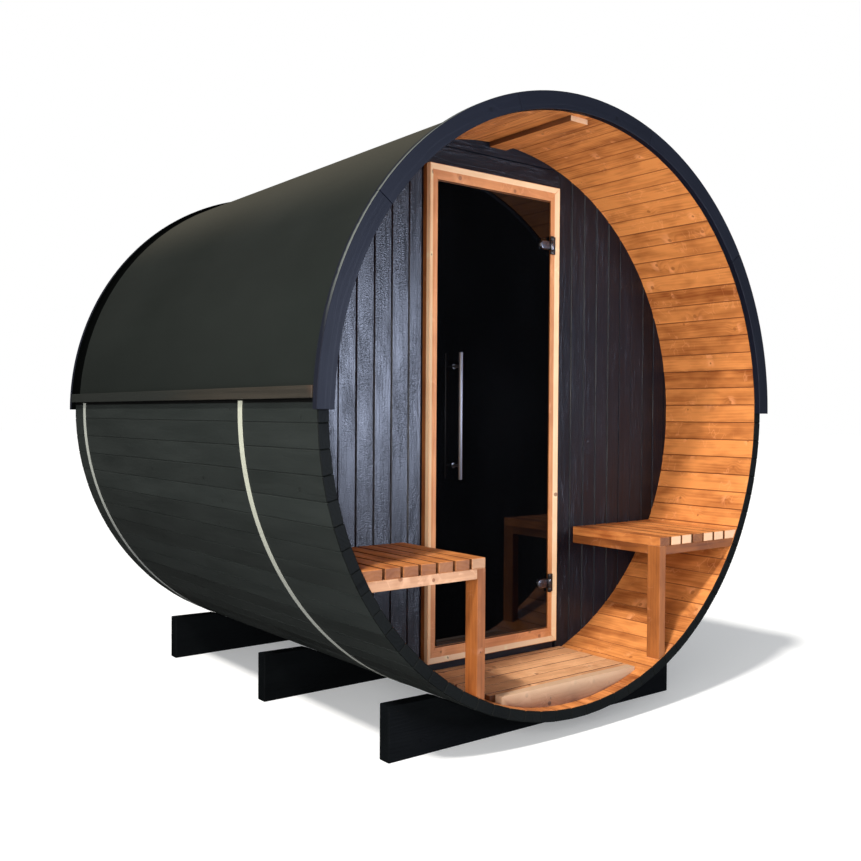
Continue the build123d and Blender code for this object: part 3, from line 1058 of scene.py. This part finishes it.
class SAUNA_OT_hinges(Step):
    """Make the plates, clamps and knuckles of the two hinges"""

    bl_idname = "sauna.hinges"
    bl_label = "Hinges"
    knuckle = 0.007
    ease = 0.0012

    def leaf(self, low, high, pivot, inner):
        """The plate on the frame with its two knuckles, webs, pin and screws."""
        thickness, gap, web_reach, pin_radius = 0.008, 0.003, 0.014, 0.003
        screw_inset, screw_rise, screw_radius, screw_head = 0.011, 0.022, 0.0044, 0.0026
        plate = box_between((pivot.x + self.knuckle + gap, high.y - thickness, low.z), high)
        ease_edges(plate, 0.0025, 3)
        parts = [plate]
        for bottom, top in ((low.z, pivot.z - inner), (pivot.z + inner, high.z)):
            middle = (pivot.x, pivot.y, (bottom + top) / 2)
            parts.append(cylinder(middle, "Z", top - bottom, self.knuckle, 40, self.ease))
            start = (pivot.x, pivot.y, bottom + self.ease)
            parts.append(box_between(start, (pivot.x + web_reach, high.y, top - self.ease)))
        parts.append(cylinder(pivot, "Z", high.z - low.z - 0.002, pin_radius, 24))
        for sign in (-1, 1):
            screw = (high.x - screw_inset, high.y - thickness - 0.0003, pivot.z + sign * screw_rise)
            parts.append(cylinder(screw, "Y", screw_head, screw_radius, 24, 0.0008))
        return gather(parts)

    def arm(self, low, high, pivot):
        """The arm on the glass, round at its free end and eased in front, with its knuckle."""
        thickness, gap, end_radius, front_radius = 0.010, 0.004, 0.0165, 0.0055
        bm = box_between((low.x, high.y - thickness, low.z), (pivot.x - gap, high.y, high.z))
        corners = [
            e for e in bm.edges
            if abs(e.verts[0].co.y - e.verts[1].co.y) > thickness / 2 and e.verts[0].co.x < low.x + 0.001
        ]
        bevel(bm, corners, end_radius, 12)
        middle = high.y - thickness / 2
        rim = [e for e in bm.edges if e.calc_face_angle(0) > 0.9 and max(v.co.y for v in e.verts) < middle]
        bevel(bm, rim, front_radius, 5)
        return gather([bm, cylinder(pivot, "Z", high.z - low.z, self.knuckle, 40, self.ease)])

    def make(self, sizes):
        for place in ("upper", "lower"):
            low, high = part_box(f"hinge_plate_{place}")
            clamp_low, clamp_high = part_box(f"hinge_clamp_{place}")
            pivot = Vector((low.x + self.knuckle, low.y + self.knuckle, (low.z + high.z) / 2))
            leaf = self.leaf(low, high, pivot, (clamp_high.z - clamp_low.z) / 2 + 0.0005)
            smooth(leaf)
            piece(f"hinge_leaf_{place}", leaf, ["hinge_coat"], f"hinge_plate_{place}")
            arm = self.arm(clamp_low, clamp_high, pivot)
            smooth(arm)
            piece(f"hinge_arm_{place}", arm, ["hinge_arm"], f"hinge_clamp_{place}", "door")
            pad = box_between(*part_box(f"hinge_back_{place}"))
            ease_edges(pad, self.ease)
            piece(f"hinge_pad_{place}", pad, ["hinge_coat"], f"hinge_back_{place}", "door")


class SAUNA_OT_deck(Step):
    """Make the porch deck, its front board and the cabin floor"""

    bl_idname = "sauna.deck"
    bl_label = "Deck and floor"

    def make(self, sizes):
        rng = random.Random(71)
        low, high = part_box("porch_deck")
        gap, first_board, floor_pitch, uneven = 0.004, 0.027, 0.0885, 0.0012
        first = low.y + first_board
        count = int((high.y - first) / sizes.deck_pitch)
        marks = [low.y, first] + [first + (k + 1) * sizes.deck_pitch for k in range(count)] + [high.y]
        boards = []
        for a, b in zip(marks, marks[1:]):
            end = low.x + rng.uniform(-0.004, 0.006)
            sink = rng.uniform(0, uneven)
            bm = disc_board((end, high.x), (a + gap / 2, b - gap / 2), (low.z, high.z - sink))
            ease_edges(bm, 0.0026)
            # Painted shade: board sides in the gaps and the left ends get the dark finish
            paint_faces(bm, 1, lambda face: abs(face.normal.y) > 0.6 or face.normal.x < -0.5)
            set_grain(bm, CROSSWISE_FLAT, rng)
            boards.append(bm)
        piece("deck_boards", gather(boards), ["deck_wood", "board_side"], "porch_deck")
        bm = fitted("deck_fascia")
        ease_edges(bm, 0.004, 3)
        set_grain(bm, CROSSWISE_ON_EDGE, rng, 0.45)
        piece("deck_front_board", bm, ["front_board"], "deck_fascia")
        for side in ("left", "right"):
            for where in ("deck", "floor"):
                bm = fitted(f"{where}_bearer_{side}")
                ease_edges(bm, sizes.ease)
                set_grain(bm, LENGTHWISE_ON_EDGE, rng)
                piece(f"{where}_joist_{side}", bm, ["deck_wood"], f"{where}_bearer_{side}")
        low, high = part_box("cabin_floor")
        count = math.ceil((high.y - low.y) / floor_pitch)
        boards = []
        for k in range(count):
            y = (low.y + k * floor_pitch, min(high.y, low.y + (k + 1) * floor_pitch - gap))
            bm = disc_board((low.x, high.x), y, (low.z, high.z))
            ease_edges(bm, sizes.ease)
            set_grain(bm, CROSSWISE_FLAT, rng)
            boards.append(bm)
        piece("floor_boards", gather(boards), ["deck_wood"], "cabin_floor")


class SAUNA_OT_benches(Step):
    """Make the slats, rails and legs of the two porch benches"""

    bl_idname = "sauna.benches"
    bl_label = "Benches"

    def make(self, sizes):
        rng = random.Random(81)
        end_play, height_play, leg_sink = 0.0025, 0.001, 0.002
        for side, sign in (("left", -1), ("right", 1)):
            low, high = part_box(f"bench_seat_{side}")
            inner = low.x if sign > 0 else high.x
            pitch = (high.x - low.x) / sizes.slat_count
            slats = []
            for k in range(sizes.slat_count):
                a = inner + sign * k * pitch
                b = inner + sign * ((k + 1) * pitch - sizes.slat_gap)
                if k == sizes.slat_count - 1:
                    b = sign * FIT_R
                y = (low.y + rng.uniform(0, end_play), high.y)
                bm = disc_board(sorted((a, b)), y, (low.z, high.z - rng.uniform(0, height_play)))
                ease_edges(bm, sizes.ease)
                # Painted shade: slat sides in the gaps get the dark finish
                paint_faces(bm, 1, lambda face: face.normal.x * sign > 0.6)
                if k > 0:
                    paint_faces(bm, 1, lambda face: face.normal.x * sign < -0.6)
                set_grain(bm, LENGTHWISE_FLAT, rng, SLAT_TONES_AND_SHADE[side][k % len(SLAT_TONES_AND_SHADE[side])])
                slats.append(bm)
            coats = ["bench_wood", "board_side"]
            piece(f"bench_slats_{side}", gather(slats), coats, f"bench_seat_{side}")
            orders = {"leg": UPRIGHT, "side_rail": LENGTHWISE_ON_EDGE, "front_rail": CROSSWISE_ON_EDGE}
            tones = {"leg": 0.3, "side_rail": 0.95, "front_rail": 0.6}
            for part, order in orders.items():
                low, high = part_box(f"bench_{part}_{side}")
                x = [low.x, high.x]
                if part == "front_rail":
                    x[0 if sign < 0 else 1] = sign * FIT_R
                bm = disc_board(x, (low.y, high.y), (low.z - leg_sink * (part == "leg"), high.z))
                ease_edges(bm, sizes.ease)
                set_grain(bm, order, rng, tones[part])
                coat = "bench_rail" if part == "front_rail" and side == "left" else "bench_frame"
                piece(f"bench_{part}_board_{side}", bm, [coat], f"bench_{part}_{side}")


class SAUNA_OT_ceiling_board(Step):
    """Make the board along the crown of the porch ceiling"""

    bl_idname = "sauna.ceiling_board"
    bl_label = "Ceiling board"

    def make(self, sizes):
        low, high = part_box("ceiling_plank")
        narrower = 0.010
        bm = disc_board((low.x + narrower, high.x), (low.y, high.y), (low.z, high.z + 0.002))
        ease_edges(bm, sizes.ease)
        set_grain(bm, LENGTHWISE_FLAT, random.Random(91), 0.45)
        # Painted shade: the ceiling board's sides get the dark finish
        paint_faces(bm, 1, lambda face: abs(face.normal.x) > 0.6)
        piece("ceiling_board", bm, ["bench_wood", "board_side"], "ceiling_plank")


class SAUNA_OT_stage(Step):
    """Make the floor, the surroundings, the lights and the camera"""

    bl_idname = "sauna.stage"
    bl_label = "Stage"

    def aim(self, obj, place, target):
        obj.location = place
        obj.rotation_euler = (Vector(target) - Vector(place)).to_track_quat("-Z", "Y").to_euler()
        bpy.context.scene.collection.objects.link(obj)

    def area(self, name, place, target, size, power, tint):
        light = bpy.data.lights.new(name, "AREA")
        light.shape = "RECTANGLE"
        light.size, light.size_y = size
        light.energy = power
        light.color = tint
        obj = bpy.data.objects.new(name, light)
        self.aim(obj, place, target)
        return obj

    def floor(self):
        """A pale floor that glows a little and stays out of reflections."""
        bm = bmesh.new()
        bmesh.ops.create_circle(bm, cap_ends=True, segments=96, radius=60.0)
        floor = bpy.data.objects.new("floor", bpy.data.meshes.new("floor"))
        bm.to_mesh(floor.data)
        bm.free()
        bpy.context.scene.collection.objects.link(floor)
        g = Finish("pale_floor")
        spot = g.noise(g.position(), 3.0, 3.0)
        floor.data.materials.append(g.set(
            Base_Color=(0.84, 0.86, 0.88),
            Roughness=(spot - 0.5) * 0.1 + 0.85,
            Emission_Color=(0.96, 0.98, 1.0),
            Emission_Strength=0.25,
        ))
        floor.visible_glossy = False
        floor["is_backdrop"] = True

    def surroundings(self, sky, reflected):
        """A white world with one strength for light, one for reflections and one for the camera."""
        world = bpy.data.worlds.new("surroundings")
        g = Graph(world)
        glossy = g.add("LightPath", output="Is Glossy Ray")
        seen = g.add("LightPath", output="Is Camera Ray")
        strength = g.add("Mix", None, {0: glossy, 2: sky, 3: reflected})
        strength = g.add("Mix", None, {0: seen, 2: strength, 3: 1.0})
        background = g.tree.nodes["Background"]
        g.feed(background.inputs["Color"], (1.0, 1.0, 1.0))
        g.feed(background.inputs["Strength"], strength)
        bpy.context.scene.world = world

    def lights(self, stage):
        """A sun high at the left, a wide light by the camera and a cool one that the wall mirrors."""
        sun = bpy.data.lights.new("key", "SUN")
        sun.energy = stage.key
        sun.angle = math.radians(5)
        sun.color = (1.0, 0.95, 0.88)
        azimuth, elevation = math.radians(-68), math.radians(55)
        level = Vector((math.sin(azimuth), -math.cos(azimuth), 0)) * math.cos(elevation)
        towards = level + Vector((0, 0, math.sin(elevation)))
        self.aim(bpy.data.objects.new("key", sun), towards * 8, (0, 0, 0))
        warm, cool = (1.0, 0.96, 0.92), (0.66, 0.75, 1.0)
        self.area("front", (-4.7, -4.1, 1.8), (0.1, -0.8, 1.1), (3.0, 2.4), stage.fill, warm)
        side = self.area("side", (1.66, -4.3, 1.42), (-0.55, -0.62, 1.3), (0.7, 1.3), stage.sheen, cool)
        side.visible_diffuse = False

    def camera(self, lens):
        """The camera at the place and angles, in radians, that fit the photo."""
        place, heading, pitch, roll = (-2.583, -3.524, 1.162), -0.6603, -0.0162, 0.0064
        camera = bpy.data.cameras.new("camera")
        camera.lens = lens
        camera.sensor_width = 36.0
        obj = bpy.data.objects.new("camera", camera)
        bpy.context.scene.collection.objects.link(obj)
        ahead = Vector((-math.sin(heading), math.cos(heading), 0)) * math.cos(pitch)
        ahead.z = math.sin(pitch)
        right = Vector((math.cos(heading), math.sin(heading), 0))
        up = right.cross(ahead)
        rolled = right * math.cos(roll) + up * math.sin(roll)
        lifted = up * math.cos(roll) - right * math.sin(roll)
        turn = Matrix((rolled, lifted, -ahead)).transposed()
        obj.matrix_world = Matrix.Translation(place) @ turn.to_4x4()
        bpy.context.scene.camera = obj

    def make(self, sizes):
        stage = bpy.context.scene.sauna_stage
        self.floor()
        self.surroundings(stage.sky, stage.reflected)
        self.lights(stage)
        self.camera(stage.lens)
        bpy.context.scene.view_settings.view_transform = "Standard"


# The add-on
STEPS = (
    SAUNA_OT_staves,
    SAUNA_OT_roof_cover,
    SAUNA_OT_side_battens,
    SAUNA_OT_arches,
    SAUNA_OT_steel_bands,
    SAUNA_OT_cradles,
    SAUNA_OT_end_walls,
    SAUNA_OT_door_frame,
    SAUNA_OT_door_leaf,
    SAUNA_OT_hinges,
    SAUNA_OT_deck,
    SAUNA_OT_benches,
    SAUNA_OT_ceiling_board,
    SAUNA_OT_stage,
)


class SAUNA_PT_panel(bpy.types.Panel):
    """Lists the sauna's steps in the sidebar"""

    bl_idname = "SAUNA_PT_panel"
    bl_label = "Barrel sauna"
    bl_space_type = "VIEW_3D"
    bl_region_type = "UI"
    bl_category = "Sauna"

    def draw(self, context):
        for group in (context.scene.sauna_sizes, context.scene.sauna_colours, context.scene.sauna_stage):
            column = self.layout.column()
            for key in group.bl_rna.properties.keys():
                if key not in ("rna_type", "name"):
                    column.prop(group, key)
        for step in STEPS:
            self.layout.operator(step.bl_idname)


CLASSES = (SaunaSizes, SaunaColours, SaunaStage, *STEPS, SAUNA_PT_panel)


def register():
    for cls in CLASSES:
        bpy.utils.register_class(cls)
    bpy.types.Scene.sauna_sizes = PointerProperty(type=SaunaSizes)
    bpy.types.Scene.sauna_colours = PointerProperty(type=SaunaColours)
    bpy.types.Scene.sauna_stage = PointerProperty(type=SaunaStage)


def unregister():
    del bpy.types.Scene.sauna_stage
    del bpy.types.Scene.sauna_colours
    del bpy.types.Scene.sauna_sizes
    for cls in reversed(CLASSES):
        bpy.utils.unregister_class(cls)


def corners():
    return [list(corner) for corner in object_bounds()]


def main():
    register()
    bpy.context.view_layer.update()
    for step in STEPS:
        group, name = step.bl_idname.split(".")
        getattr(getattr(bpy.ops, group), name)()


if __name__ == "__main__":
    main()
